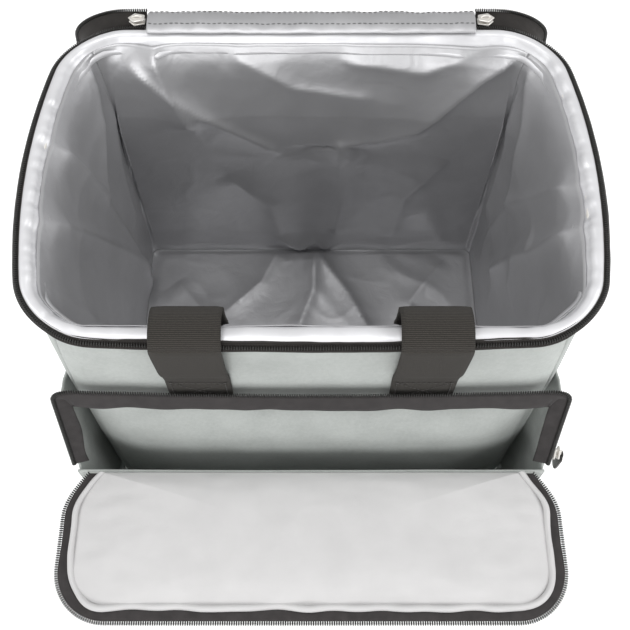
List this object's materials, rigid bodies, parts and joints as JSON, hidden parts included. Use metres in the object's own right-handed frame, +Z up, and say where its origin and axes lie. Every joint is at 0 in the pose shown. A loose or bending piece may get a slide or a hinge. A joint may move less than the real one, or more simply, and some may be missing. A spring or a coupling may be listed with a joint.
{
  "type": "insulated cooler bag",
  "caption": "Soft-sided insulated cooler bag with a hinged zip lid, silver lined compartment, two webbing handles and a zipped front pocket with a fold-down flap.",
  "frame": {"origin": "centre of the base, on the ground, below the middle of the main compartment", "axes": "+Z up, -Y towards the front pocket, +X to the bag's right as seen from the front"},
  "size_m": [0.3234, 0.418, 0.2566],
  "materials": {
    "fabric": "heather polyester, plain weave",
    "foam": "closed-cell PE foam",
    "liner": "silver PEVA film",
    "tape": "woven zip tape",
    "coil": "nylon coil",
    "webbing": "ribbed polyester webbing",
    "lining": "pale polyester lining",
    "metal": "nickel plated",
    "puller": "black coated"
  },
  "bodies": {
    "bag": {"base_panel": "fabric", "base_foam": "foam", "liner_floor": "liner", "outer_front": "fabric", "outer_right": "fabric", "outer_back": "fabric", "outer_left": "fabric", "foam_front": "foam", "foam_right": "foam", "foam_back": "foam", "foam_left": "foam", "liner_front": "liner", "liner_right": "liner", "liner_back": "liner", "liner_left": "liner", "rim_lip": "liner", "rim_zip_tape": "tape", "rim_zip_coil": "coil", "lid_hinge_strip": "liner", "pocket_front": "fabric", "pocket_gusset_left": "fabric", "pocket_gusset_right": "fabric", "pocket_bottom": "fabric", "pocket_zip_tape": "tape", "pocket_zip_coil": "coil", "front_strap_anchor_left": "webbing", "front_strap_anchor_right": "webbing", "front_strap_bend_left": "webbing", "front_strap_bend_right": "webbing", "rear_strap_anchor_left": "webbing", "rear_strap_anchor_right": "webbing", "rear_strap_bend_left": "webbing", "rear_strap_bend_right": "webbing"},
    "lid": {"lid_panel": "fabric", "lid_foam": "foam", "lid_liner": "liner", "lid_zip_tape": "tape", "lid_zip_coil": "coil"},
    "pocket_flap": {"flap_panel": "fabric", "flap_lining": "lining", "flap_binding": "lining", "flap_zip_tape": "tape", "flap_zip_coil": "coil"},
    "front_handle": {"front_handle_loop": "webbing"},
    "rear_handle": {"rear_handle_loop": "webbing"},
    "main_slider_left": {"main_slider_left": "metal"},
    "main_slider_right": {"main_slider_right": "metal"},
    "main_puller_left": {"main_puller_left": "puller"},
    "main_puller_right": {"main_puller_right": "puller"},
    "pocket_slider": {"pocket_slider": "metal"},
    "pocket_puller": {"pocket_puller": "puller"}
  },
  "joints": [
    {"name": "lid_hinge", "type": "hinge", "parent": "bag", "child": "lid", "pos_m": [0, 0.1136, 0.25097], "axis": [1, 0, 0], "range_deg": [0, 247.3], "deforming": ["lid_hinge_strip"]},
    {"name": "flap_hinge", "type": "hinge", "parent": "bag", "child": "pocket_flap", "pos_m": [0, -0.1325, 0.1085], "axis": [-1, 0, 0], "range_deg": [0, 97]},
    {"name": "front_handle_swing", "type": "hinge", "parent": "bag", "child": "front_handle", "pos_m": [0, -0.10065, 0.243], "axis": [1, 0, 0], "range_deg": [0, 180], "deforming": ["front_strap_bend_left", "front_strap_bend_right"]},
    {"name": "rear_handle_swing", "type": "hinge", "parent": "bag", "child": "rear_handle", "pos_m": [0, 0.1071, 0.206], "axis": [1, 0, 0], "range_deg": [0, 9], "deforming": ["rear_strap_bend_left", "rear_strap_bend_right"]},
    {"name": "main_slider_left_run", "type": "slide", "parent": "bag", "child": "main_slider_left", "axis": [-1, 0, 0], "range_m": [0, 0.015]},
    {"name": "main_slider_right_run", "type": "slide", "parent": "bag", "child": "main_slider_right", "axis": [1, 0, 0], "range_m": [0, 0.015]},
    {"name": "main_puller_left_swing", "type": "hinge", "parent": "main_slider_left", "child": "main_puller_left", "pos_m": [-0.10675, 0.1092, 0.2424], "axis": [1, 0, 0], "range_deg": [-10, 8]},
    {"name": "main_puller_right_swing", "type": "hinge", "parent": "main_slider_right", "child": "main_puller_right", "pos_m": [0.10675, 0.1092, 0.2424], "axis": [1, 0, 0], "range_deg": [-10, 8]},
    {"name": "pocket_slider_run", "type": "slide", "parent": "bag", "child": "pocket_slider", "axis": [0, 0.3015, 0.9535], "range_m": [0, 0.045]},
    {"name": "pocket_puller_swing", "type": "hinge", "parent": "pocket_slider", "child": "pocket_puller", "pos_m": [0.1553, -0.12331, 0.11841], "axis": [0, 1, 0], "range_deg": [-60, 0]}
  ]
}
